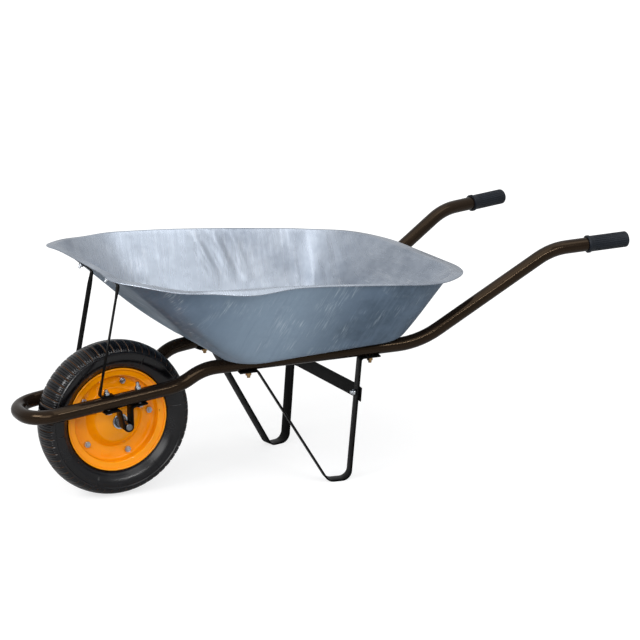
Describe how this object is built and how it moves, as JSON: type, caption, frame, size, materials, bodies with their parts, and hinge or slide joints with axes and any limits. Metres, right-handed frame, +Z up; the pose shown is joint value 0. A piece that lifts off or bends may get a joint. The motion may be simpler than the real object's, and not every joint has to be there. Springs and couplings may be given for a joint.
{
  "type": "wheelbarrow",
  "caption": "Garden wheelbarrow with a galvanised steel tray, bent tube frame, strip legs and a pneumatic wheel on a split orange rim.",
  "frame": {"origin": "on the ground, under the middle of the bounding box", "axes": "+X towards the handles, +Y to the right of the person pushing, +Z up"},
  "size_m": [1.424, 0.6748, 0.5425],
  "materials": {
    "galvanised_sheet": "spangled satin zinc coat",
    "frame_paint": "gloss dark bronze",
    "black_paint": "semi-gloss black",
    "rim_paint": "gloss orange",
    "zinc_plate": "bright zinc",
    "bearing_steel": "ground steel",
    "tyre_rubber": "matt black",
    "tube_rubber": "matt",
    "grip_rubber": "matt",
    "valve_brass": "turned",
    "cap_plastic": "matt"
  },
  "bodies": {
    "frame": {"frame_tube": "frame_paint", "left_grip": "grip_rubber", "right_grip": "grip_rubber", "tray": "galvanised_sheet", "left_leg": "black_paint", "right_leg": "black_paint", "cross_bar": "black_paint", "left_stay": "black_paint", "right_stay": "black_paint", "left_axle_bracket": "black_paint", "right_axle_bracket": "black_paint", "axle": "zinc_plate", "bracket_bolts": "zinc_plate", "bracket_nuts": "zinc_plate", "stay_bolts": "zinc_plate", "stay_nuts": "zinc_plate", "tray_bolts": "zinc_plate", "tray_nuts": "zinc_plate", "tray_washers": "zinc_plate", "cross_bar_bolts": "zinc_plate", "cross_bar_nuts": "zinc_plate", "bearing_inner_races": "bearing_steel", "left_axle_spacer": "zinc_plate", "right_axle_spacer": "zinc_plate", "bearing_spacer": "zinc_plate"},
    "wheel": {"tyre": "tyre_rubber", "inner_tube": "tube_rubber", "valve_stem": "valve_brass", "valve_cap": "cap_plastic", "left_rim_half": "rim_paint", "right_rim_half": "rim_paint", "rim_bolts": "zinc_plate", "rim_nuts": "zinc_plate", "bearing_outer_races": "bearing_steel", "bearing_shields": "zinc_plate", "bearing_balls": "bearing_steel", "bearing_cages": "bearing_steel"}
  },
  "joints": [
    {"name": "wheel_spin", "type": "hinge", "parent": "frame", "child": "wheel", "pos_m": [-0.47802, 0, 0.1775], "axis": [0, 1, 0], "continuous": true}
  ]
}
